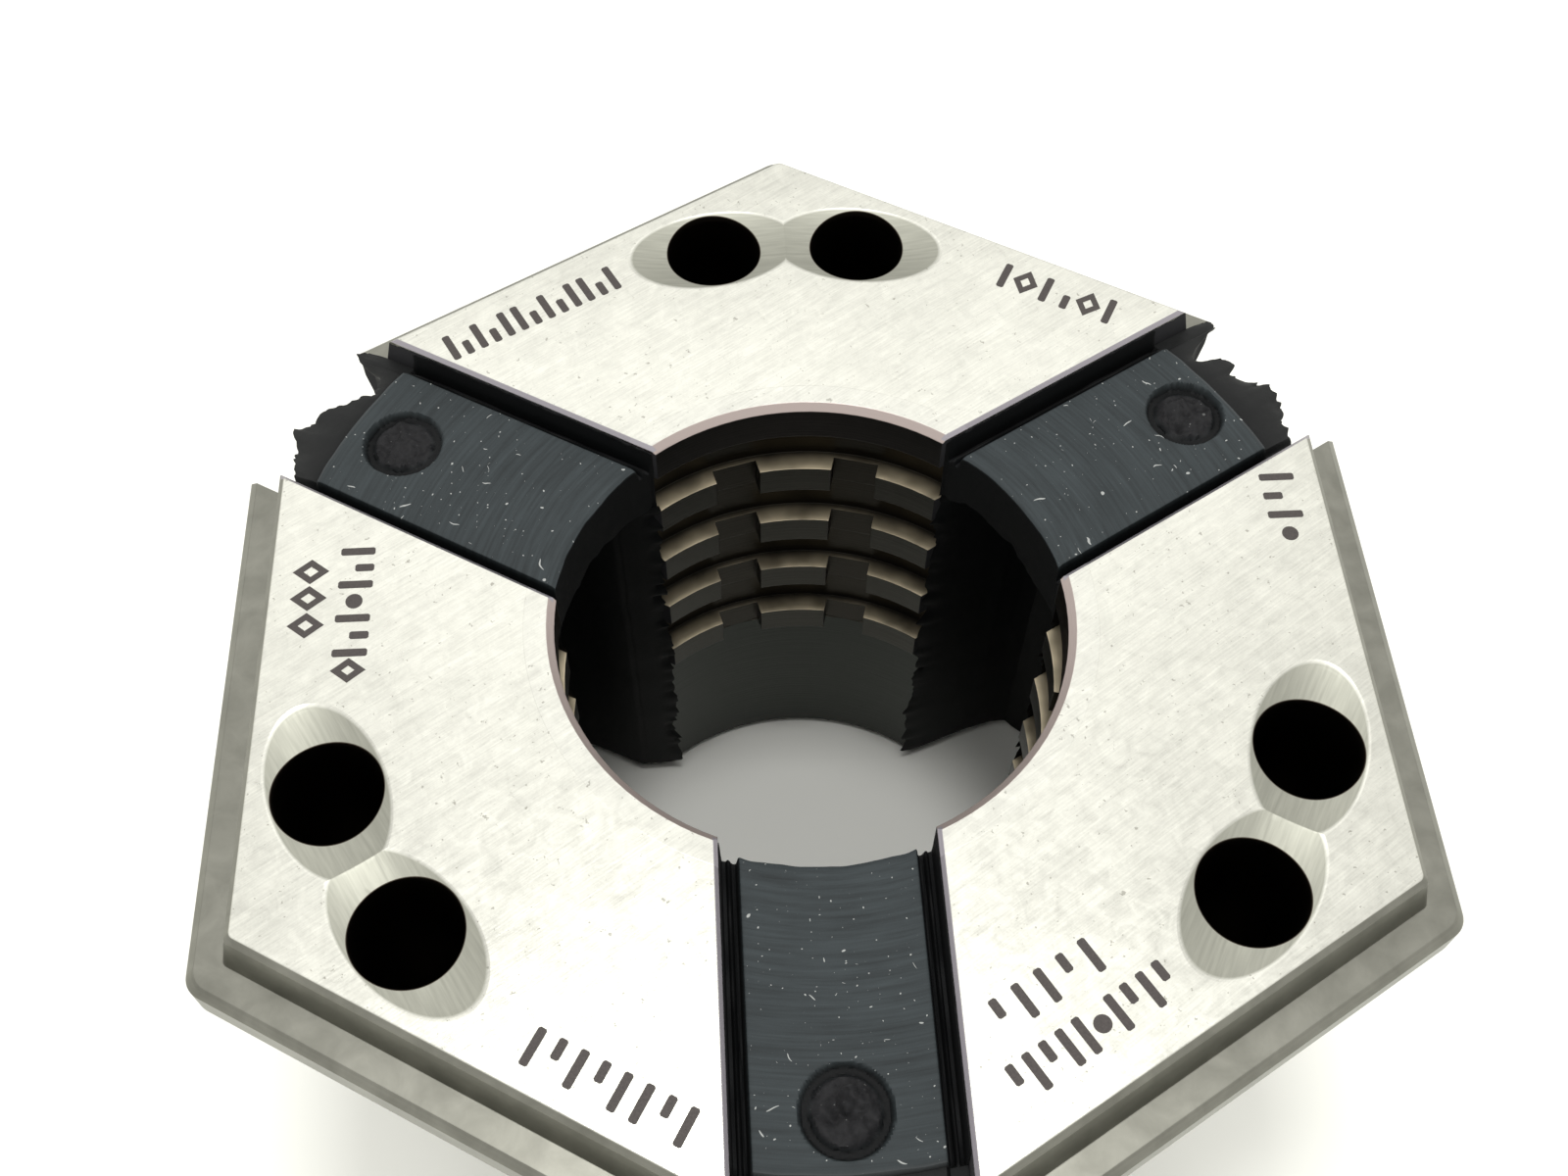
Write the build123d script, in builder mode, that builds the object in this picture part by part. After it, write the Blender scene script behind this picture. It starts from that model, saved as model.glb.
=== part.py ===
from build123d import *
import os
from math import cos, radians, sin

# Three-segment clamping head for a hexagonal quick-change chuck.
# Three hardened steel segments surround a serrated bore, and three rubber webs, moulded into the
# slots between them, hold them together and push them apart again after clamping.
# Millimetres. The origin is on the bore axis in the plane of the rear face, and +Z points along
# the bore, out of the front face. Heights are measured up from the rear face.

# Overall
LENGTH = 37.0
SEGMENT_ANGLES = (90, 210, 330)
SLOT_ANGLES = (30, 150, 270)
SLOT_WIDTH = 10.0
REACH = 60.0  # longer than anything in the head, for cutting tools

# Hexagonal outside: half widths across flats, and depths behind the front face
FACE_HALF_WIDTH = 26.5
FACE_CHAMFER = 0.3
BOSS_FOOT_HALF_WIDTH = 27.3
BOSS_HEIGHT = 2.3
LEDGE_HALF_WIDTH = 28.6
FLANGE_HALF_WIDTH = 29.0
FLANGE_CHAMFER = 0.4
FLANGE_BACK_DEPTH = 4.5
CONE_HALF_WIDTH = 25.4
CONE_BACK_DEPTH = 25.0
BOSS_CORNER_RADIUS = 0.4
FLANGE_CORNER_RADIUS = 1.2
SLOT_EDGE_CHAMFER = 0.2

# Rear coupling: a neck and the collar that the chuck's draw tube grips
NECK_RADIUS = 21.5
COLLAR_RADIUS = 24.5
COLLAR_HEIGHT = 6.0
COLLAR_FRONT_CHAMFER = 0.8
COLLAR_REAR_CHAMFER = 0.4

# Bore: a ground gripping length cut into pads by ring grooves and straight grooves
BORE_RADIUS = 12.59
MOUTH_CHAMFER = 0.36
FRONT_LAND = 2.5
PITCH = 5.0
RING_GROOVE_WIDTH = 3.0
RING_GROOVE_DEPTH = 1.2
RIB_COUNT = 4
STRAIGHT_GROOVE_ANGLE = 14.7
STRAIGHT_GROOVE_WIDTH = 2.5
RELIEF_RADIUS = 13.4
REAR_MOUTH_CHAMFER = 0.5

# Change-tool holes, two in each segment, each in an oval dish
HOLE_RADIUS = 2.6
HOLE_CIRCLE_RADIUS = 24.34
HOLE_ANGLE = 9.5
HOLE_DEPTH = 16.0
DRILL_POINT = 1.5
DRILL_TIP_RADIUS = 0.05
DISH_DEPTH = 0.4
DISH_HALF_WIDTH = 2.8
DISH_HALF_LENGTH = 4.85

# Rubber webs: a raised pad in front, an outer wall, and a lining bonded to the steel on each side,
# round a hollow that is open to the bore and to the rear
CORE_HALF_WIDTH = 4.1
PAD_DEPTH = 1.0
PAD_END_RADIUS = 26.6
PAD_LAND_RADIUS = 12.9
PAD_LAND_BACK_DEPTH = 5.0
CORE_INNER_RADIUS = 19.3
STRIP_INNER_RADIUS = 13.4
FIN_DEPTH = 1.4
FIN_THICKNESS = 0.7
FIN_RADIUS = 29.4
SHELF_RADIUS = 28.8
CORE_CONE_RADIUS = 25.0
CORE_INSET = 0.6
RUBBER_REAR_GAP = 1.0
STRIP_DEPTH = 1.9
STRIP_INSET = 0.4
GATE_RADIUS = 2.0
GATE_STUB_RADIUS = 1.6
GATE_GROOVE_DEPTH = 0.5
GATE_CIRCLE_RADIUS = 24.0

os.makedirs("parts", exist_ok=True)

gripping_back_depth = FRONT_LAND + RIB_COUNT * PITCH
cone_rear = LENGTH - CONE_BACK_DEPTH
flange_rear = LENGTH - FLANGE_BACK_DEPTH
ledge = LENGTH - BOSS_HEIGHT
flange_edge = ledge - FLANGE_CHAMFER
boss_edge = LENGTH - FACE_CHAMFER
boss_top_half_width = FACE_HALF_WIDTH + FACE_CHAMFER


def write_piece(piece, name):
    """Label a finished piece and write its file."""
    piece.part.label = name
    export_step(piece.part, f"parts/{name}.step")


# Hexagonal layers, from the rear forwards: low height, half width there, high height, half width
# there, corner radius
hexagon_layers = (
    (cone_rear, CONE_HALF_WIDTH, flange_rear, FLANGE_HALF_WIDTH, FLANGE_CORNER_RADIUS),
    (flange_rear, FLANGE_HALF_WIDTH, flange_edge, FLANGE_HALF_WIDTH, FLANGE_CORNER_RADIUS),
    (flange_edge, FLANGE_HALF_WIDTH, ledge, LEDGE_HALF_WIDTH, FLANGE_CORNER_RADIUS),
    (ledge, BOSS_FOOT_HALF_WIDTH, boss_edge, boss_top_half_width, BOSS_CORNER_RADIUS),
    (boss_edge, boss_top_half_width, LENGTH, FACE_HALF_WIDTH, BOSS_CORNER_RADIUS),
)

# Oval dish round each change-tool hole: part of a spindle whose axis lies above the face and
# along the hole circle
dish_ball_radius = (DISH_DEPTH**2 + DISH_HALF_WIDTH**2) / (2 * DISH_DEPTH)
dish_axis_height = LENGTH + dish_ball_radius - DISH_DEPTH
dish_half_length = DISH_HALF_LENGTH * dish_ball_radius / DISH_HALF_WIDTH

# Clamping segment, drawn with its middle on +X
with BuildPart() as segment:
    # Hexagonal cone, flange, ledge and boss
    for low, low_half_width, high, high_half_width, corner_radius in hexagon_layers:
        for height, half_width in ((low, low_half_width), (high, high_half_width)):
            with BuildSketch(Plane.XY.offset(height)) as outline:
                RegularPolygon(half_width, 6, major_radius=False)
                fillet(outline.vertices(), corner_radius)
        loft(ruled=True)
    # Neck and coupling collar
    with BuildSketch(Plane.XZ):
        Polygon(
            (0, 0),
            (COLLAR_RADIUS - COLLAR_REAR_CHAMFER, 0),
            (COLLAR_RADIUS, COLLAR_REAR_CHAMFER),
            (COLLAR_RADIUS, COLLAR_HEIGHT - COLLAR_FRONT_CHAMFER),
            (COLLAR_RADIUS - COLLAR_FRONT_CHAMFER, COLLAR_HEIGHT),
            (NECK_RADIUS, COLLAR_HEIGHT),
            (NECK_RADIUS, cone_rear),
            (0, cone_rear),
            align=None,
        )
    revolve(axis=Axis.Z)
    # One third of the ring, less half a slot on each side
    apex = SLOT_WIDTH / 2 / sin(radians(60))
    edge = (REACH * cos(radians(60)), REACH * sin(radians(60)))
    with BuildSketch():
        Polygon((apex, 0), (apex + edge[0], -edge[1]), (apex + edge[0], edge[1]), align=None)
    extrude(amount=LENGTH, mode=Mode.INTERSECT)
    # Bore with its mouth chamfers and the relief behind the gripping length
    with BuildSketch(Plane.XZ):
        Polygon(
            (0, 0),
            (RELIEF_RADIUS + REAR_MOUTH_CHAMFER, 0),
            (RELIEF_RADIUS, REAR_MOUTH_CHAMFER),
            (RELIEF_RADIUS, LENGTH - gripping_back_depth),
            (BORE_RADIUS, LENGTH - gripping_back_depth),
            (BORE_RADIUS, LENGTH - MOUTH_CHAMFER),
            (BORE_RADIUS + MOUTH_CHAMFER, LENGTH),
            (0, LENGTH),
            align=None,
        )
    revolve(axis=Axis.Z, mode=Mode.SUBTRACT)
    # Ring grooves
    for groove in range(RIB_COUNT):
        with Locations((0, 0, LENGTH - FRONT_LAND - groove * PITCH)):
            Cylinder(
                BORE_RADIUS + RING_GROOVE_DEPTH,
                RING_GROOVE_WIDTH,
                align=(Align.CENTER, Align.CENTER, Align.MAX),
                mode=Mode.SUBTRACT,
            )
    # Straight grooves, which part each rib into three pads
    with Locations((0, 0, LENGTH - FRONT_LAND)):
        with PolarLocations(0, 2, -STRAIGHT_GROOVE_ANGLE, 2 * STRAIGHT_GROOVE_ANGLE, endpoint=True):
            Box(
                RELIEF_RADIUS,
                STRAIGHT_GROOVE_WIDTH,
                gripping_back_depth - FRONT_LAND,
                align=(Align.MIN, Align.CENTER, Align.MAX),
                mode=Mode.SUBTRACT,
            )
    # Broken edges along the slots, on the front face
    front_edges = segment.faces().sort_by(Axis.Z)[-1].edges().filter_by(GeomType.LINE)
    slot_edges = front_edges.sort_by(SortBy.LENGTH)[:2]
    chamfer(slot_edges, SLOT_EDGE_CHAMFER)
    # Change-tool holes
    for angle in (-HOLE_ANGLE, HOLE_ANGLE):
        outward = (cos(radians(angle)), sin(radians(angle)), 0)
        around = (-outward[1], outward[0], 0)
        x = HOLE_CIRCLE_RADIUS * outward[0]
        y = HOLE_CIRCLE_RADIUS * outward[1]
        with BuildSketch(Plane((x, y, dish_axis_height), x_dir=around, z_dir=outward)):
            with BuildLine():
                EllipticalCenterArc((0, 0), dish_half_length, dish_ball_radius, arc_size=180)
                Line((-dish_half_length, 0), (dish_half_length, 0))
            make_face()
        revolve(axis=Axis((x, y, dish_axis_height), around), mode=Mode.SUBTRACT)
        with Locations((x, y, LENGTH)):
            Cylinder(
                HOLE_RADIUS,
                HOLE_DEPTH,
                align=(Align.CENTER, Align.CENTER, Align.MAX),
                mode=Mode.SUBTRACT,
            )
        with Locations((x, y, LENGTH - HOLE_DEPTH)):
            Cone(
                DRILL_TIP_RADIUS,
                HOLE_RADIUS,
                DRILL_POINT,
                align=(Align.CENTER, Align.CENTER, Align.MAX),
                mode=Mode.SUBTRACT,
            )

for number, angle in enumerate(SEGMENT_ANGLES, 1):
    with BuildPart() as clamping_segment:
        add(segment.part, rotation=(0, 0, angle))
    write_piece(clamping_segment, f"clamping_segment_{number}")

# Middle of a rubber web, drawn with its slot along +X: it is the same solid in all three slots
with BuildPart() as core:
    with BuildSketch(Plane.XZ):
        Polygon(
            (CORE_INNER_RADIUS, RUBBER_REAR_GAP),
            (COLLAR_RADIUS - CORE_INSET, RUBBER_REAR_GAP),
            (COLLAR_RADIUS - CORE_INSET, COLLAR_HEIGHT),
            (NECK_RADIUS - CORE_INSET, COLLAR_HEIGHT),
            (NECK_RADIUS - CORE_INSET, cone_rear),
            (CORE_CONE_RADIUS, cone_rear),
            (SHELF_RADIUS, LENGTH - FLANGE_BACK_DEPTH),
            (SHELF_RADIUS, LENGTH - FIN_DEPTH - FIN_THICKNESS),
            (FIN_RADIUS, LENGTH - FIN_DEPTH - FIN_THICKNESS),
            (FIN_RADIUS, LENGTH - FIN_DEPTH),
            (PAD_END_RADIUS, LENGTH - FIN_DEPTH),
            (PAD_END_RADIUS, LENGTH - PAD_DEPTH),
            (PAD_LAND_RADIUS, LENGTH - PAD_DEPTH),
            (PAD_LAND_RADIUS, LENGTH - PAD_LAND_BACK_DEPTH),
            (CORE_INNER_RADIUS, LENGTH - PAD_LAND_BACK_DEPTH),
            align=None,
        )
    revolve(axis=Axis.Z)
    Box(
        REACH,
        2 * CORE_HALF_WIDTH,
        LENGTH,
        align=(Align.MIN, Align.CENTER, Align.MIN),
        mode=Mode.INTERSECT,
    )
    # Ring left by the moulding gate
    with BuildSketch(Plane.XY.offset(LENGTH - PAD_DEPTH)):
        with Locations((GATE_CIRCLE_RADIUS, 0)):
            Circle(GATE_RADIUS)
            Circle(GATE_STUB_RADIUS, mode=Mode.SUBTRACT)
    extrude(amount=-GATE_GROOVE_DEPTH, mode=Mode.SUBTRACT)

# Side of a rubber web, bonded to a segment: the lining that gives as the head closes
with BuildPart() as strip:
    with BuildSketch(Plane.XZ):
        Polygon(
            (STRIP_INNER_RADIUS, RUBBER_REAR_GAP),
            (COLLAR_RADIUS - CORE_INSET - STRIP_INSET, RUBBER_REAR_GAP),
            (COLLAR_RADIUS - CORE_INSET - STRIP_INSET, COLLAR_HEIGHT),
            (NECK_RADIUS - CORE_INSET - STRIP_INSET, COLLAR_HEIGHT),
            (NECK_RADIUS - CORE_INSET - STRIP_INSET, cone_rear),
            (CORE_CONE_RADIUS - STRIP_INSET, cone_rear),
            (SHELF_RADIUS - STRIP_INSET, LENGTH - FLANGE_BACK_DEPTH),
            (SHELF_RADIUS - STRIP_INSET, LENGTH - STRIP_DEPTH),
            (STRIP_INNER_RADIUS, LENGTH - STRIP_DEPTH),
            align=None,
        )
    revolve(axis=Axis.Z)
    with Locations((0, CORE_HALF_WIDTH, 0)):
        Box(
            REACH,
            SLOT_WIDTH / 2 - CORE_HALF_WIDTH,
            LENGTH,
            align=(Align.MIN, Align.MIN, Align.MIN),
            mode=Mode.INTERSECT,
        )

for number, angle in enumerate(SLOT_ANGLES, 1):
    with BuildPart() as web_core:
        add(core.part, rotation=(0, 0, angle))
    write_piece(web_core, f"rubber_web_{number}")
    # The segment after the slot, counting anticlockwise, and the one before it
    for segment_angle, mirrored in ((angle + 60, False), (angle - 60, True)):
        neighbour = SEGMENT_ANGLES.index(segment_angle % 360) + 1
        with BuildPart() as bond_strip:
            add(strip.part)
            if mirrored:
                mirror(about=Plane.XZ, mode=Mode.REPLACE)
        with BuildPart() as turned_strip:
            add(bond_strip.part, rotation=(0, 0, angle))
        write_piece(turned_strip, f"bond_strip_web_{number}_segment_{neighbour}")
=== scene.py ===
"""Looks for the hexagonal clamping head: rubber webs, finishes, marks, floor, light and camera."""

import math

import bmesh
import bpy
import numpy as np
from mathutils import Euler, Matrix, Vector


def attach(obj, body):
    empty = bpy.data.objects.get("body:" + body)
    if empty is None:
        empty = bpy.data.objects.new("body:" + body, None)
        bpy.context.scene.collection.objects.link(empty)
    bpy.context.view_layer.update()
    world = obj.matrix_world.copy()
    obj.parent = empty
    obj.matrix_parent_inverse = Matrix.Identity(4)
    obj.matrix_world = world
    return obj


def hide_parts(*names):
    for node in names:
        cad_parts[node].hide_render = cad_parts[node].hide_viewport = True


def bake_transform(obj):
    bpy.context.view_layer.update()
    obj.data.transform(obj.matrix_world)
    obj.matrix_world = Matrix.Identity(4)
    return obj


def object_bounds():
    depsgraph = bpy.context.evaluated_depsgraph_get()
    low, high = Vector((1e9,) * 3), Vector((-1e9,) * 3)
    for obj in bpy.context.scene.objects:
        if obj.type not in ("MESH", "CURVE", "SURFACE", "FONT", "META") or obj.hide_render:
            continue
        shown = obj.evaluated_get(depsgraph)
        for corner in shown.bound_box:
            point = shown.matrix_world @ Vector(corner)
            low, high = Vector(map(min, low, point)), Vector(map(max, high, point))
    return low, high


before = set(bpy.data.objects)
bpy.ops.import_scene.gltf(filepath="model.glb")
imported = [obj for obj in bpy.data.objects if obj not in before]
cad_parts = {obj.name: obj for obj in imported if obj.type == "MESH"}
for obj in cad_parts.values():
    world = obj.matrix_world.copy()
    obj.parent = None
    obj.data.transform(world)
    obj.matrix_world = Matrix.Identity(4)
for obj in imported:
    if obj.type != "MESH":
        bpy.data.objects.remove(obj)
cad_low, cad_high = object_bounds()

# Sizes in millimetres, as in the CAD model. Heights are measured up from the rear face.
MM = 0.001
LENGTH = cad_high.z / MM
SLOTS = {1: 30, 2: 150, 3: 270}
SEGMENTS = {1: 90, 2: 210, 3: 330}
FACE_HALF_WIDTH = 26.42
BORE_REACH = 14.05  # every surface of the bore is nearer the axis than this
RING_GROOVE_FLOOR = 12.75
FRONT_LAND = 2.5
RELIEF_DEPTH = 22.5
REAR_CHAMFER_DEPTH = 36.45
HOLE_RADIUS = 2.64
HOLE_BOTTOM_DEPTH = 17.7
DISH_DEPTH = 0.45
HOLE_PLACE = (24.34 * math.cos(math.radians(9.5)), 24.34 * math.sin(math.radians(9.5)))


# ---------------------------------------------------------------- node materials


class Look:
    """A node material, put together in few words."""

    def __init__(self, name):
        self.material = bpy.data.materials.new(name)
        self.material.use_nodes = True
        self.nodes = self.material.node_tree.nodes
        self.links = self.material.node_tree.links
        self.nodes.clear()

    def feed(self, socket, value):
        if isinstance(value, bpy.types.NodeSocket):
            self.links.new(value, socket)
        elif isinstance(value, (tuple, list)) and len(value) == 3 and socket.type == "RGBA":
            socket.default_value = (*value, 1.0)
        else:
            socket.default_value = value

    def add(self, kind, inputs, **settings):
        made = self.nodes.new("ShaderNode" + kind)
        for key, value in settings.items():
            setattr(made, key, value)
        for key, value in inputs.items():
            self.feed(made.inputs[key], value)
        return made

    def math(self, operation, *values, clamp=False):
        made = self.add("Math", {}, operation=operation, use_clamp=clamp)
        for socket, value in zip(made.inputs, values):
            self.feed(socket, value)
        return made.outputs[0]

    def step(self, value, edge, soft=0.02):
        """0 below the edge and 1 above it."""
        return self.math("MULTIPLY_ADD", value, 1 / soft, 0.5 - edge / soft, clamp=True)

    def band(self, value, low, high, soft=0.02):
        """1 between low and high, and 0 elsewhere."""
        above = self.step(value, low, soft)
        below = self.math("SUBTRACT", 1.0, self.step(value, high, soft))
        return self.math("MULTIPLY", above, below)

    def times(self, a, b):
        return self.math("MULTIPLY", a, b)

    def plus(self, *values):
        made = values[0]
        for value in values[1:]:
            made = self.math("ADD", made, value)
        return made

    def both(self, *values):
        """1 where every one of the masks is 1."""
        made = values[0]
        for value in values[1:]:
            made = self.times(made, value)
        return made

    def inverse(self, value):
        return self.math("SUBTRACT", 1.0, value)

    def mix(self, factor, a, b):
        """Colours a and b mixed."""
        made = self.add("Mix", {}, data_type="RGBA")
        for index, value in ((0, factor), (6, a), (7, b)):
            self.feed(made.inputs[index], value)
        return made.outputs[2]

    def blend(self, factor, a, b):
        """Numbers a and b mixed."""
        made = self.add("Mix", {}, data_type="FLOAT")
        for index, value in ((0, factor), (2, a), (3, b)):
            self.feed(made.inputs[index], value)
        return made.outputs[0]

    def tint(self, colour, amount):
        """The colour times a number."""
        made = self.add("VectorMath", {0: colour}, operation="SCALE")
        self.feed(made.inputs["Scale"], amount)
        return made.outputs[0]

    def place(self):
        """Object coordinates in millimetres, as a vector and as x, y and z, and the normal's x, y and z."""
        coordinates = self.add("TexCoord", {})
        scaled = self.add("VectorMath", {0: coordinates.outputs["Object"]}, operation="SCALE")
        scaled.inputs["Scale"].default_value = 1 / MM
        split = self.add("SeparateXYZ", {0: scaled.outputs[0]})
        facing = self.add("SeparateXYZ", {0: coordinates.outputs["Normal"]})
        return scaled.outputs[0], split.outputs, facing.outputs

    def vector(self, x=0.0, y=0.0, z=0.0):
        return self.add("CombineXYZ", {"X": x, "Y": y, "Z": z}).outputs[0]

    def length(self, x, y):
        return self.math("SQRT", self.plus(self.times(x, x), self.times(y, y)))

    def noise(self, vector, scale=1.0, detail=2.0, roughness=0.5, distortion=0.0):
        inputs = {"Vector": vector, "Scale": scale, "Detail": detail}
        inputs |= {"Roughness": roughness, "Distortion": distortion}
        return self.add("TexNoise", inputs).outputs[0]

    def finish(self, normal=None, **inputs):
        """The shader and the output. Names of inputs are the shader's own, with _ for a space."""
        shader = self.add("BsdfPrincipled", {})
        for key, value in inputs.items():
            self.feed(shader.inputs[key.replace("_", " ")], value)
        if normal is not None:
            self.feed(shader.inputs["Normal"], normal)
        self.add("OutputMaterial", {"Surface": shader.outputs[0]})
        return self.material


def steel_look():
    """Ground steel faces, turned bore with painted shade and a painted highlight on its ledges, dished holes
    with painted shade inside, and rubber-filmed slot walls, told apart by place.
    """
    look = Look("segment_steel")
    place, (x, y, z), (_, _, nz) = look.place()
    depth = look.math("SUBTRACT", LENGTH, z)
    radius = look.length(x, y)
    turn = look.math("ARCTAN2", y, x)
    ax, ay = look.math("ABSOLUTE", x), look.math("ABSOLUTE", y)
    slant = look.plus(look.times(ax, 0.5), look.times(ay, math.sqrt(0.75)))
    across = look.math("MAXIMUM", ax, slant)

    def folded(middle):
        """Distances along and across the nearest of three radial lines, the first at that angle."""
        third = math.radians(60)
        angle = look.math("WRAP", look.math("SUBTRACT", turn, math.radians(middle)), third, -third)
        along = look.times(radius, look.math("COSINE", angle))
        aside = look.math("ABSOLUTE", look.times(radius, look.math("SINE", angle)))
        return along, aside

    _, slot_aside = folded(30)
    seg_along, seg_aside = folded(90)
    hole_x = look.math("SUBTRACT", seg_along, HOLE_PLACE[0])
    hole_y = look.math("SUBTRACT", seg_aside, HOLE_PLACE[1])
    from_hole = look.length(hole_x, hole_y)

    top = look.step(nz, 0.985, 0.01)
    face = look.both(top, look.inverse(look.step(depth, 0.06)))
    below_face = look.step(depth, 0.03, 0.03)
    upright = look.inverse(look.step(look.math("ABSOLUTE", nz), 0.5))
    inside = look.inverse(look.step(radius, BORE_REACH))
    above_bottom = look.inverse(look.step(depth, HOLE_BOTTOM_DEPTH))
    hole = look.both(look.inverse(look.step(from_hole, HOLE_RADIUS)), below_face, above_bottom)
    outside = look.both(look.step(across, FACE_HALF_WIDTH), below_face)
    wall = look.both(look.band(slot_aside, 4.97, 5.03, 0.01), upright)
    chamfer_depth = look.inverse(look.step(depth, 0.23))
    broken_edge = look.both(look.band(slot_aside, 5.0, 5.23, 0.01), chamfer_depth, look.inverse(top))
    dish = look.both(below_face, look.inverse(look.step(depth, DISH_DEPTH)))
    dish = look.both(dish, look.inverse(outside), look.inverse(inside), look.inverse(wall))

    # Ground faces: fine straight scratches in one direction, and soft cloudy patches
    c, s = math.cos(math.radians(34)), math.sin(math.radians(34))
    along = look.plus(look.times(x, c), look.times(y, s))
    over = look.math("SUBTRACT", look.times(y, c), look.times(x, s))
    fine = look.noise(look.vector(look.times(along, 0.35), look.times(over, 11.0), z), 1.0, 4.0, 0.6)
    broad = look.noise(look.vector(look.times(along, 0.45), look.times(over, 2.2), z), 1.0, 4.0, 0.65)
    cloud = look.noise(place, 0.22, 3.0, 0.55)
    grain = look.noise(place, 9.0, 2.0)
    ground = look.plus(look.times(fine, 0.46), look.times(broad, 0.26))
    ground = look.plus(ground, look.times(cloud, 0.24))
    ground = look.plus(ground, look.times(grain, 0.16))
    pitted = look.inverse(look.step(look.noise(place, 3.1, 2.0, 0.7), 0.30, 0.04))
    swirl = look.noise(place, 1.1, 3.0, 0.6, 0.9)
    ground = look.plus(ground, look.times(look.math("SUBTRACT", swirl, 0.5), 0.34))
    colour = look.tint((0.560, 0.556, 0.50), look.plus(ground, 0.47))
    colour = look.mix(look.times(pitted, 0.55), colour, (0.16, 0.15, 0.12))

    # Outside faces and behind: olive, blotched
    blotch = look.noise(place, 0.55, 4.0, 0.6, 0.4)
    outer = look.mix(blotch, (0.12, 0.119, 0.10), (0.27, 0.267, 0.23))
    rings = look.noise(look.vector(0.0, 0.0, look.times(z, 7.0)), 1.0, 3.0, 0.6)
    outer = look.tint(outer, look.plus(look.times(rings, 0.3), 0.85))
    colour = look.mix(outside, colour, outer)
    back = look.both(look.inverse(look.step(z, 31.9)), look.inverse(inside))
    oiled = look.tint((0.36, 0.357, 0.325), look.plus(look.times(rings, 0.45), 0.42))
    oiled = look.tint(oiled, look.plus(look.times(blotch, 0.7), 0.95))
    colour = look.mix(back, colour, oiled)

    # Dishes: lines left by the cutter
    cuts = look.noise(look.vector(look.times(seg_along, 6.0), look.times(seg_aside, 0.4), 0.0), 1.0, 3.0)
    colour = look.mix(dish, colour, look.tint((0.30, 0.30, 0.255), look.plus(look.times(cuts, 0.5), 0.75)))
    # Painted shade inside the screw holes: their walls are painted near black
    colour = look.mix(hole, colour, (0.055, 0.045, 0.035))

    # Bore: turned lines over painted shade: the steel is painted near black in the bore, darkest on the ring
    # groove floors, the front land, the relief and the rear chamfer, and lighter only at the mouth; upward
    # ledges get a painted highlight in beige
    turned = look.noise(look.vector(look.times(turn, 1.5), 0.0, look.times(z, 9.0)), 1.0, 3.0, 0.65)
    bore = look.mix(look.step(radius, RING_GROOVE_FLOOR, 0.1), (0.050, 0.048, 0.040), (0.030, 0.026, 0.019))
    land = look.inverse(look.step(depth, FRONT_LAND))
    bore = look.mix(land, bore, (0.030, 0.026, 0.024))
    # Painted highlight: upward ledges near the bore are painted light beige, as if lit from above, and dark
    # further out
    ledges = look.both(look.step(nz, 0.7, 0.1), inside)
    ledge_highlight = look.mix(look.step(radius, 13.15, 1.1), (0.62, 0.53, 0.37), (0.03, 0.026, 0.018))
    patchy = look.step(look.noise(place, 0.45, 2.0), 0.47, 0.3)
    ledge_highlight = look.tint(ledge_highlight, look.math("MULTIPLY_ADD", patchy, 0.7, 0.5))
    bore = look.mix(ledges, bore, ledge_highlight)
    # Painted shade deeper in the bore: the relief and the rear chamfer by the floor
    relief = look.step(depth, RELIEF_DEPTH)
    bore = look.mix(relief, bore, (0.032, 0.036, 0.031))
    bore = look.mix(look.step(depth, REAR_CHAMFER_DEPTH), bore, (0.02, 0.02, 0.02))
    bore = look.tint(bore, look.plus(look.times(turned, 0.6), 0.7))
    mouth = look.inverse(look.step(depth, 0.37))
    bore = look.mix(mouth, bore, (0.40, 0.335, 0.31))
    colour = look.mix(look.both(inside, look.inverse(face)), colour, bore)

    # Slot walls carry a film of rubber up to a ragged line near the face
    ragged = look.math("MULTIPLY_ADD", look.noise(place, 1.3, 3.0, 0.6), 0.5, 0.05)
    film = look.both(wall, look.math("GREATER_THAN", depth, ragged))
    colour = look.mix(film, colour, (0.010, 0.010, 0.012))
    colour = look.mix(broken_edge, colour, (0.33, 0.31, 0.335))

    rough = look.blend(swirl, 0.24, 0.36)
    rough = look.blend(look.both(inside, look.inverse(face)), rough, 0.34)
    rough = look.blend(outside, rough, 0.36)
    rough = look.blend(film, rough, 0.9)
    rough = look.blend(dish, rough, 0.42)
    metal = look.math("SUBTRACT", look.inverse(film), look.times(ledges, 0.7), clamp=True)

    relief_height = look.times(look.plus(fine, look.times(grain, 0.6)), face)
    bore_height = look.both(turned, inside)
    dish_height = look.both(cuts, dish)
    height = look.plus(relief_height, look.plus(look.times(bore_height, 3.0), dish_height))
    edge = look.add("Bevel", {"Radius": 0.00007}, samples=4)
    dents = {"Strength": 0.35, "Distance": 0.00001, "Height": height, "Normal": edge.outputs[0]}
    bump = look.add("Bump", dents)
    return look.finish(Base_Color=colour, Metallic=metal, Roughness=rough, normal=bump.outputs[0])


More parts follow.
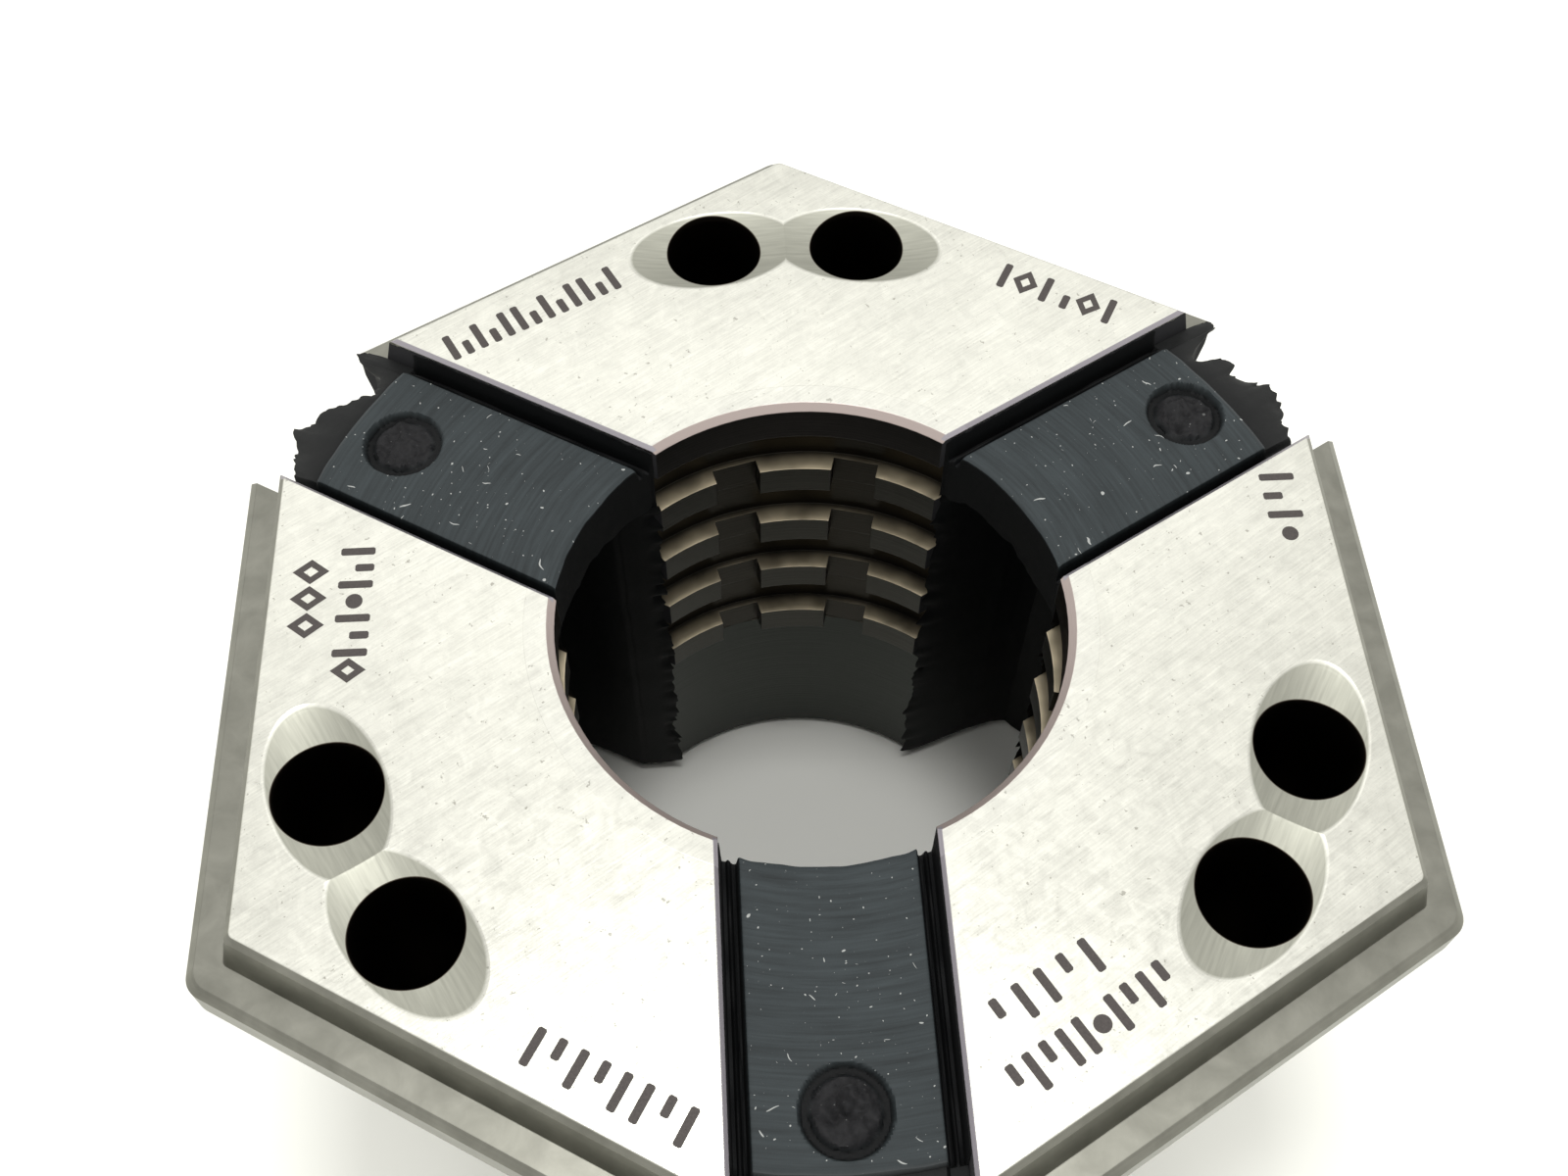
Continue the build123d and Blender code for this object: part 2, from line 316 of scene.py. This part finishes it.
def rubber_look():
    """Matt black rubber: turned and dusty in front, painted near black inside as painted shade, greyer on the
    torn flash, with a pale worn line and a painted highlight on the ridge.
    """
    look = Look("web_rubber")
    place, (x, y, _), (_, _, nz) = look.place()
    radius = look.length(x, y)

    def painted(name):
        return look.add("Attribute", {}, attribute_name=name).outputs["Fac"]

    pad, fin, wear_and_highlight, stub = painted("pad"), painted("fin"), painted("wear_and_highlight"), painted("stub")
    grain = look.noise(place, 7.0, 3.0, 0.6)
    patches = look.noise(place, 0.35, 3.0, 0.6)
    turn = look.math("ARCTAN2", y, x)
    turned = look.noise(look.vector(look.times(radius, 4.0), look.times(turn, 3.0), 0.0), 1.0, 3.0, 0.65)
    # Painted shade: away from the pad (inside the web, in the grooves by the slot walls and in the gate ring)
    # the rubber is painted near black
    colour = look.mix(pad, (0.0003, 0.0007, 0.0010), (0.0255, 0.0318, 0.0340))
    shade = look.plus(look.times(patches, 0.5), look.times(grain, 0.3))
    shade = look.plus(shade, look.times(turned, 1.5))
    colour = look.tint(colour, look.math("SUBTRACT", shade, 0.16))
    flash = look.tint((0.0165, 0.017, 0.0165), look.plus(patches, 0.5))
    colour = look.mix(look.times(fin, 0.8), colour, flash)
    gate = look.tint((0.009, 0.008, 0.009), look.times(look.plus(grain, -0.12), 2.6))
    colour = look.mix(look.times(stub, 0.7), colour, gate)
    # A pale worn line at the pad's outer edge, and a painted highlight along the ridge near the slot wall
    colour = look.mix(look.times(wear_and_highlight, 0.4), colour, (0.11, 0.11, 0.11))

    # Dust and lint that the turned face holds
    flat = look.vector(x, y, 0.0)

    def specks(scale, largest, power, angle=0.0, stretch=1.0):
        c, s = math.cos(angle), math.sin(angle)
        u = look.math("MULTIPLY_ADD", x, c, look.times(y, s))
        v = look.math("MULTIPLY_ADD", y, c, look.times(x, -s))
        bend = look.times(look.noise(flat, 0.9, 1.0), 1.2)
        where = look.vector(look.times(u, 1 / stretch), look.plus(v, bend), 0.0)
        cells = look.add("TexVoronoi", {"Vector": where, "Scale": scale}, voronoi_dimensions="2D")
        chance = look.add("SeparateXYZ", {0: cells.outputs["Color"]}).outputs[0]
        reach = look.times(look.math("POWER", chance, power), largest)
        return look.math("LESS_THAN", cells.outputs["Distance"], reach)

    speck = look.math("MAXIMUM", specks(2.1, 0.09, 6.0), specks(0.9, 0.07, 6.0, 0.4, 1.4))
    for angle, scale in ((0.5, 1.0), (1.9, 0.85), (2.7, 1.1)):
        speck = look.math("MAXIMUM", speck, specks(scale, 0.045, 4.0, angle, 7.0))
    upward = look.step(nz, 0.6, 0.2)
    dust = look.both(speck, upward, look.times(pad, 0.7))
    colour = look.mix(dust, colour, (0.46, 0.47, 0.45))

    rough = look.blend(pad, 0.62, 0.56)
    rough = look.plus(rough, look.times(grain, 0.12))
    height = look.plus(look.both(turned, pad), look.times(grain, 0.5))
    bump = look.add("Bump", {"Strength": 0.6, "Distance": 0.00003, "Height": height})
    return look.finish(Base_Color=colour, Roughness=rough, Specular_IOR_Level=0.22, normal=bump.outputs[0])


def mark_look():
    """Brown-grey oxide left by a laser."""
    look = Look("laser_mark")
    place, _, _ = look.place()
    speckle = look.noise(place, 9.0, 3.0, 0.7)
    colour = look.mix(speckle, (0.022, 0.018, 0.017), (0.085, 0.072, 0.066))
    return look.finish(Base_Color=colour, Metallic=0.3, Roughness=0.6)


def floor_look():
    look = Look("floor_white")
    place, _, _ = look.place()
    tone = look.math("MULTIPLY_ADD", look.noise(place, 0.01, 2.0), 0.02, 0.89)
    return look.finish(Base_Color=look.tint((1.0, 1.0, 0.935), tone), Roughness=0.7)


STEEL = steel_look()
RUBBER = rubber_look()
MARK = mark_look()


# ---------------------------------------------------------------- rubber webs


def ripple(u, v, seed):
    """Smooth noise from -1 to 1, about one bump to a unit."""
    grid = np.random.default_rng(seed).uniform(-1, 1, (64, 64))
    u, v = np.broadcast_arrays(np.asarray(u, float), np.asarray(v, float))
    iu, iv = np.floor(u).astype(int), np.floor(v).astype(int)
    fu, fv = u - iu, v - iv
    fu, fv = fu * fu * (3 - 2 * fu), fv * fv * (3 - 2 * fv)
    low = grid[iu % 64, iv % 64] * (1 - fu) + grid[(iu + 1) % 64, iv % 64] * fu
    high = grid[iu % 64, (iv + 1) % 64] * (1 - fu) + grid[(iu + 1) % 64, (iv + 1) % 64] * fu
    return low * (1 - fv) + high * fv


def smooth(value, low, high):
    s = np.clip((value - low) / (high - low), 0, 1)
    return s * s * (3 - 2 * s)


# Outline of the torn flash at the outer end of each web: place across the slot, radius
TORN_EDGES = {
    1: ((-5, 28.2), (-3, 28.6), (-1.9, 29.5), (-0.7, 29.5), (1.15, 28.3), (1.4, 29.0), (2.2, 28.8),
        (2.9, 27.3), (3.6, 28.2), (4.1, 30.2), (4.6, 30.6), (5, 30.3)),
    2: ((-5, 30.2), (-4.5, 30.5), (-4.0, 30.0), (-3.5, 28.0), (-2.4, 27.6), (-0.4, 29.1), (0.6, 29.4),
        (1.5, 30.1), (3.3, 28.9), (5, 28.2)),
    3: ((-5, 28.6), (-3.2, 29.3), (-1.6, 28.4), (0, 29.2), (1.7, 29.6), (3.1, 28.1), (5, 28.9)),
}
PAD_ENDS = {1: 26.4, 2: 27.0, 3: 26.6}
SEAM = 3.75  # half width of the middle piece of a web

# Radii and heights of a web
LAND_RADIUS = 12.9
PAD_DEPTH = 1.0
FLASH_DEPTH = 1.4
GATE_CIRCLE = 24.0
SHELF_RADIUS = 28.8
SHELF_HEIGHT = 32.5
CONE_RADIUS = 25.0
CONE_HEIGHT = 12.0
NECK_RADIUS = 20.9
COLLAR_RADIUS = 23.9
COLLAR_HEIGHT = 6.0
REAR_HEIGHT = 1.0
FRONT_UNDERSIDE = 32.0
# Inner radius of the lining by distance across the slot: most of them, and the one thick side
THIN_LINING = (0, 3.0, 3.4, 4.0, 4.5, 4.75, 5.0), (19.6, 19.4, 18.7, 16.7, 14.2, 13.2, 12.75)
THICK_LINING = (0, 3.0, 3.36, 3.52, 4.3, 4.75, 5.0), (19.4, 19.2, 17.4, 14.5, 13.5, 13.0, 12.75)


def across_depth(aside):
    """Depth of the rubber's front across the slot: pad, groove, ridge, groove, film."""
    at = (0, 4.0, 4.08, 4.13, 4.22, 4.40, 4.50, 4.58, 4.70, 4.86, 4.93)
    depth = (0, 0, 0.03, 0.30, 0.98, 1.05, 0.74, 0.66, 0.98, 1.0, 0.9)
    return np.interp(aside, at, depth)


def web_shell(web, places):
    """Radii, heights and paint of a web, one row for each place across the slot, round its closed section."""
    t = np.asarray(places, float)[:, None]
    aside = np.abs(t)
    near_wall = smooth(aside, 4.86, 4.95)
    torn = np.interp(t, *zip(*TORN_EDGES[web])) + 0.16 * ripple(3.1 * t, 0.3, 40 + web)
    torn = torn + 0.12 * ripple(7.7 * t, 0.7, 50 + web)
    pad_end = PAD_ENDS[web] + 0.05 * ripple(t, 0.5, 60 + web)
    inner = LAND_RADIUS - 0.12 * near_wall + 0.05 * ripple(1.4 * t, 0.2, 70 + web)
    inset = 0.35 * smooth(aside, 4.0, 4.3)

    def row(count):
        return np.linspace(0, 1, count)[None, :]

    radii, heights, pads, fins, wears_and_highlights, stubs = [], [], [], [], [], []

    def section(r, z, pad=0.0, fin=0.0, wear_and_highlight=0.0, stub=0.0):
        r, z = np.broadcast_arrays(r + 0 * t, z + 0 * t)
        radii.append(r)
        heights.append(z)
        for paints, paint in ((pads, pad), (fins, fin), (wears_and_highlights, wear_and_highlight), (stubs, stub)):
            paints.append(np.broadcast_to(paint, r.shape))

    # Front face, from the bore outwards
    s = row(126)
    r = inner + 0.03 + (pad_end - inner - 0.03) * s
    groove = across_depth(aside)
    wobble = 0.5 + 0.5 * ripple(0.8 * r, 3 + 2.2 * t, 80 + web)
    depth = PAD_DEPTH + groove + 0.10 * (groove > 0.3) * (wobble - 0.5)
    depth = depth + 0.015 * ripple(0.35 * r, 0.5 * t, 90 + web)
    film_top = 0.30 + 0.22 * np.abs(ripple(1.7 * r, 0.4, 95 + web + 7 * (t[0, 0] > 0)))
    depth = depth * (1 - near_wall) + film_top * near_wall
    depth = depth + 0.12 * (1 - smooth(r, inner, inner + 0.25)) + 0.10 * smooth(r, pad_end - 0.25, pad_end)
    along = np.sqrt(r**2 - t**2)
    from_gate = np.hypot(along - GATE_CIRCLE, t)
    lean = (along - GATE_CIRCLE) * 0.35 + t * 0.25
    ring = smooth(from_gate, 1.42, 1.62) * (1 - smooth(from_gate, 1.92, 2.12))
    stub = 1 - smooth(from_gate, 1.42, 1.62)
    lumps = ripple(1.6 * along, 1.6 * t, 100 + web) + 0.6 * ripple(3.5 * along, 3.5 * t, 110 + web)
    fold = np.exp(-((np.hypot(along - 23.7, t - 0.3) - 0.75) / 0.12) ** 2)
    depth = depth + ring * (0.42 + 0.10 * lean) + stub * (0.16 - 0.22 * lumps - 0.15 * fold + 0.08 * lean)
    on_pad = (1 - smooth(aside, 4.0, 4.2)) + 0 * r
    # Paint for a pale worn line at the pad's outer edge, and for a painted highlight along the ridge near the
    # slot wall
    edge_wear = np.exp(-((r - pad_end + 0.04) / 0.05) ** 2) * on_pad
    ridge_highlight = 0.5 * np.exp(-((aside - 4.58) / 0.05) ** 2) * (0.5 + 0.5 * ripple(0.9 * r, 5.0, 120 + web))
    # Where this pad paint is 0, the rubber is painted near black as painted shade: the grooves, the gate ring
    # and all of the inside
    pad = on_pad * (1 - ring) * (1 - 0.75 * stub)
    section(r, LENGTH - depth, pad=pad, wear_and_highlight=edge_wear + ridge_highlight, stub=stub)

    # Torn flash, a little lower than the pad, thinning outwards
    s = row(26)[:, 1:]
    start = pad_end + 0.06
    r = start + (torn - start) * s
    drop = FLASH_DEPTH + 0.42 * smooth(aside, 4.0, 4.2) + 0.30 * s * s
    crumple = 0.05 * ripple(1.5 * r, 1.5 * t, 130 + web) + 0.012 * ripple(4.1 * r, 4.1 * t, 140 + web)
    crumple = crumple + 0.25 * s**3 * ripple(0.9 * r, 1.1 * t, 150 + web)
    section(r, LENGTH - drop - crumple * smooth(s, 0, 0.15), fin=0.3 + 0.7 * s)
    tip = (LENGTH - drop - crumple)[:, -1:]
    s = row(14)[:, 1:]
    shelf = np.minimum(SHELF_RADIUS - inset, torn - 0.25)
    thickness = 0.10 + 0.45 * s
    section(torn + (shelf - torn) * s, tip - thickness + 0.30 * s, fin=1.0 - 0.6 * s)

    # Outer end down to the rear: shelf, cone, neck and collar
    low = (tip - 0.25)[:, :1]
    s = row(8)[:, 1:]
    section(shelf + 0.05 * ripple(6 * s, t, 160 + web) * (1 - s), low - (low - SHELF_HEIGHT) * s)
    s = row(26)[:, 1:]
    uneven = 0.06 * ripple(9 * s, 0.8 * t, 170 + web) * (1 - s) * s * 4
    cone = shelf + (CONE_RADIUS - inset - shelf) * s + uneven
    section(cone, SHELF_HEIGHT - (SHELF_HEIGHT - CONE_HEIGHT) * s)
    corners = (
        (CONE_RADIUS, CONE_HEIGHT, NECK_RADIUS, CONE_HEIGHT, 8),
        (NECK_RADIUS, CONE_HEIGHT, NECK_RADIUS, COLLAR_HEIGHT, 10),
        (NECK_RADIUS, COLLAR_HEIGHT, COLLAR_RADIUS, COLLAR_HEIGHT, 7),
        (COLLAR_RADIUS, COLLAR_HEIGHT, COLLAR_RADIUS, REAR_HEIGHT, 10),
    )
    for r0, z0, r1, z1, count in corners:
        s = row(count)[:, 1:]
        section(r0 + (r1 - r0) * s - inset, z0 + (z1 - z0) * s)
    rear = 0.7 + 0.3 * (1 + ripple(0.8 * t, 0.6, 180 + web))
    s = row(16)[:, 1:]
    film = smooth(aside, 4.4, 4.9)
    thick_side = (t < 0) & (web == 2)
    back_inner = np.where(thick_side, np.interp(aside, *THICK_LINING), np.interp(aside, *THIN_LINING))
    back_outer = COLLAR_RADIUS - inset
    back_height = REAR_HEIGHT + (rear - REAR_HEIGHT) * smooth(s, 0.2, 1.0)
    section(back_outer + (back_inner - back_outer) * s, back_height)

    # Inside, up to the step, and the land that shows from the front
    s = row(96)[:, 1:]
    step_height = FRONT_UNDERSIDE + 0.28 * ripple(0.9 * t, 0.2, 190 + web)
    step_height = step_height + 0.10 * ripple(3.1 * t, 0.2, 195 + web)
    z = rear + (step_height - rear) * s
    ragged = 0.30 * film * (ripple(1.3 * z, 0.9, 200 + web) + 0.6 * ripple(3.7 * z, 0.2, 210 + web))
    wavy = 0.06 * ripple(0.5 * z, 0.6 * t, 220 + web)
    section(back_inner + ragged + wavy, z)
    s = row(20)[:, 1:-1]
    underside = step_height + 0.10 * ripple(5 * s, 2 * t, 230 + web)
    section(back_inner + (inner + 0.06 - back_inner) * s, underside)
    s = row(26)
    z = step_height + (LENGTH - depth[:, :1] - step_height) * s
    section(inner + 0.06 - 0.03 * s + 0.035 * ripple(1.1 * z, 0.9 * t, 240 + web) * (1 - s), z)
    joined = [np.concatenate(parts, axis=1) for parts in (radii, heights, pads, fins, wears_and_highlights, stubs)]
    # The last point repeats the first one
    return t, [part[:, :-1] for part in joined]


def web_mesh(name, web, places):
    """A closed mesh through the sections of a web at these places across its slot."""
    t, (r, z, pad, fin, wear_and_highlight, stub) = web_shell(web, places)
    turn = math.radians(SLOTS[web])
    along = np.sqrt(r**2 - t**2)
    aside = t + 0 * r
    x = along * math.cos(turn) - aside * math.sin(turn)
    y = along * math.sin(turn) + aside * math.cos(turn)
    points = np.stack((x, y, z), axis=-1)
    rows, count = r.shape
    quads = []
    for i in range(rows - 1):
        for j in range(count):
            k = (j + 1) % count
            quads.append((i * count + j, (i + 1) * count + j, (i + 1) * count + k, i * count + k))
    caps = [tuple(range(count)), tuple(range((rows - 1) * count, rows * count))]
    mesh = bpy.data.meshes.new(name)
    mesh.from_pydata((points.reshape(-1, 3) * MM).tolist(), [], quads + caps)
    for key, paint in (("pad", pad), ("fin", fin), ("wear_and_highlight", wear_and_highlight), ("stub", stub)):
        layer = mesh.attributes.new(key, "FLOAT", "POINT")
        layer.data.foreach_set("value", np.clip(paint, 0, 1).astype(np.float32).ravel())
    work = bmesh.new()
    work.from_mesh(mesh)
    bmesh.ops.recalc_face_normals(work, faces=work.faces)
    work.to_mesh(mesh)
    work.free()
    mesh.polygons.foreach_set("use_smooth", [True] * len(mesh.polygons))
    mesh.set_sharp_from_angle(angle=math.radians(38))
    mesh.materials.append(RUBBER)
    piece = bpy.data.objects.new(name, mesh)
    bpy.context.scene.collection.objects.link(piece)
    return piece


MIDDLE = np.linspace(-SEAM, SEAM, 69)
# The side pieces end just short of the slot's wall
SIDE = np.array((SEAM, 3.85, 3.93, 4.0, 4.05, 4.1, 4.14, 4.2, 4.26, 4.34, 4.42, 4.47, 4.52, 4.56, 4.6, 4.65,
                 4.7, 4.78, 4.86, 4.89, 4.92, 4.95, 4.97, 4.985))

for web, angle in SLOTS.items():
    core = web_mesh(f"web_{web}_pad", web, MIDDLE)
    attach(core, "rubber_webs")
    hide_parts(f"rubber_web_{web}")
    for side in (1, -1):
        number = next(n for n, a in SEGMENTS.items() if a == (angle + 60 * side) % 360)
        strip = web_mesh(f"web_{web}_bonded_edge_{number}", web, side * SIDE)
        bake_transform(strip)
        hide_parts(f"bond_strip_web_{web}_segment_{number}")


# ---------------------------------------------------------------- steel and its marks

for number in SEGMENTS:
    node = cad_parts[f"clamping_segment_{number}"]
    node.material_slots[0].link = "OBJECT"
    node.material_slots[0].material = STEEL

BAR, SHORT, DOT, DIAMOND = "bar", "short", "dot", "diamond"
# Rows of plain signs in place of the lettering: segment, start and end on the face, height, signs
MARK_ROWS = {
    "marks_1_left": (1, (-18.35, 17.55), (-9.75, 22.15), 1.8,
                     (BAR, SHORT, BAR, SHORT, BAR, BAR, SHORT, BAR, SHORT, BAR, BAR, SHORT, BAR)),
    "marks_1_right": (1, (12.1, 21.3), (17.5, 18.4), 1.8, (BAR, DIAMOND, BAR, SHORT, DIAMOND, BAR)),
    "marks_2_outer": (2, (-24.6, 0.4), (-24.6, 3.5), 1.8, (DIAMOND, DIAMOND, DIAMOND)),
    "marks_2_inner": (2, (-22.35, -2.2), (-22.35, 4.6), 1.7,
                      (DIAMOND, BAR, SHORT, BAR, DOT, BAR, SHORT, BAR)),
    "marks_2_rear": (2, (-6.7, -24.6), (-13.1, -20.9), 1.8, (BAR, SHORT, BAR, BAR, SHORT, BAR, SHORT, BAR)),
    "marks_3_right": (3, (24.4, 6.9), (24.4, 3.4), 1.8, (BAR, SHORT, BAR, DOT)),
    "marks_3_outer": (3, (14.2, -19.3), (7.3, -23.5), 1.8,
                      (SHORT, BAR, SHORT, BAR, DOT, BAR, BAR, SHORT, BAR, SHORT)),
    "marks_3_inner": (3, (11.1, -18.1), (6.9, -20.6), 1.7, (BAR, SHORT, BAR, BAR, SHORT)),
}
STROKE = 0.42


def sign_outlines(sign, height):
    """Closed outlines of a sign about its middle: an outer one, and an inner one for an open sign."""
    half = height / 2
    if sign in (BAR, SHORT):
        reach = half if sign == BAR else half * 0.55
        bottom = -half
        top = bottom + 2 * reach
        w = STROKE / 2
        c = 0.08
        lower = [(-w, bottom + c), (-w + c, bottom), (w - c, bottom), (w, bottom + c)]
        upper = [(w, top - c), (w - c, top), (-w + c, top), (-w, top - c)]
        return [lower + upper]
    if sign == DOT:
        turns = [math.tau * k / 20 for k in range(20)]
        return [[(0.42 * math.cos(a), 0.42 * math.sin(a)) for a in turns]]
    outer = half
    inner = half - STROKE * 1.25
    corners = ((1, 0), (0, 1), (-1, 0), (0, -1))
    return [[(reach * cx * 0.8, reach * cy) for cx, cy in corners] for reach in (outer, inner)]


def mark_row(name, start, end, height, signs):
    """Thin closed slips that lie on the face."""
    low, high = LENGTH - 0.01, LENGTH + 0.012
    start, end = Vector(start), Vector(end)
    step = (end - start) / (len(signs) - 1)
    across = step.normalized()
    up = Vector((-across.y, across.x))
    work = bmesh.new()
    for index, sign in enumerate(signs):
        centre = start + step * index
        rings = []
        for outline in sign_outlines(sign, height):
            flat = [centre + across * a + up * b for a, b in outline]
            rings.append([[work.verts.new((p.x * MM, p.y * MM, h * MM)) for p in flat] for h in (low, high)])
        size = len(rings[0][0])
        for ring in rings:
            for k in range(size):
                m = (k + 1) % size
                work.faces.new((ring[0][k], ring[0][m], ring[1][m], ring[1][k]))
        for level in (0, 1):
            if len(rings) == 1:
                work.faces.new(rings[0][level])
                continue
            for k in range(size):
                m = (k + 1) % size
                outside, inside = rings[0][level], rings[1][level]
                work.faces.new((outside[k], outside[m], inside[m], inside[k]))
    bmesh.ops.recalc_face_normals(work, faces=work.faces)
    mesh = bpy.data.meshes.new(name)
    work.to_mesh(mesh)
    work.free()
    mesh.materials.append(MARK)
    piece = bpy.data.objects.new(name, mesh)
    bpy.context.scene.collection.objects.link(piece)
    return piece


for name, (number, start, end, height, signs) in MARK_ROWS.items():
    piece = mark_row(name, start, end, height, signs)
    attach(piece, f"segment_{number}")


# ---------------------------------------------------------------- floor, light, camera

floor_mesh = bpy.data.meshes.new("floor")
work = bmesh.new()
bmesh.ops.create_grid(work, x_segments=8, y_segments=8, size=0.8)
work.to_mesh(floor_mesh)
work.free()
floor_mesh.materials.append(floor_look())
floor = bpy.data.objects.new("floor", floor_mesh)
bpy.context.scene.collection.objects.link(floor)

world = bpy.data.worlds.new("soft_white")
bpy.context.scene.world = world
world.use_nodes = True
world.node_tree.nodes["Background"].inputs["Color"].default_value = (1.0, 0.997, 0.98, 1.0)
world.node_tree.nodes["Background"].inputs["Strength"].default_value = 1.15


def panel(name, place, target, width, height, power):
    """A soft rectangular lamp that faces the target."""
    lamp = bpy.data.lights.new(name, "AREA")
    lamp.shape = "RECTANGLE"
    lamp.size = width
    lamp.size_y = height
    lamp.energy = power
    made = bpy.data.objects.new(name, lamp)
    made.location = place
    made.rotation_euler = (Vector(target) - Vector(place)).to_track_quat("-Z", "Y").to_euler()
    bpy.context.scene.collection.objects.link(made)
    return made


panel("key_panel", (0.0, 0.27, 0.40), (0, 0, 0.03), 0.36, 0.12, 0.11)
panel("top_panel", (0.0, 0.005, 0.5), (0, 0, 0.03), 0.09, 0.09, 0.8)

camera_data = bpy.data.cameras.new("photo_view")
camera_data.lens = 39.8
camera_data.sensor_width = 36.0
camera_data.clip_start = 0.001
camera_data.clip_end = 10.0
camera = bpy.data.objects.new("photo_view", camera_data)
camera.location = Vector((-4.197, -43.886, 109.427)) * MM
camera.rotation_euler = Euler([math.radians(a) for a in (32.072, -0.388, -3.073)], "XYZ")
bpy.context.scene.collection.objects.link(camera)
bpy.context.scene.camera = camera
bpy.context.scene.view_settings.view_transform = "Standard"
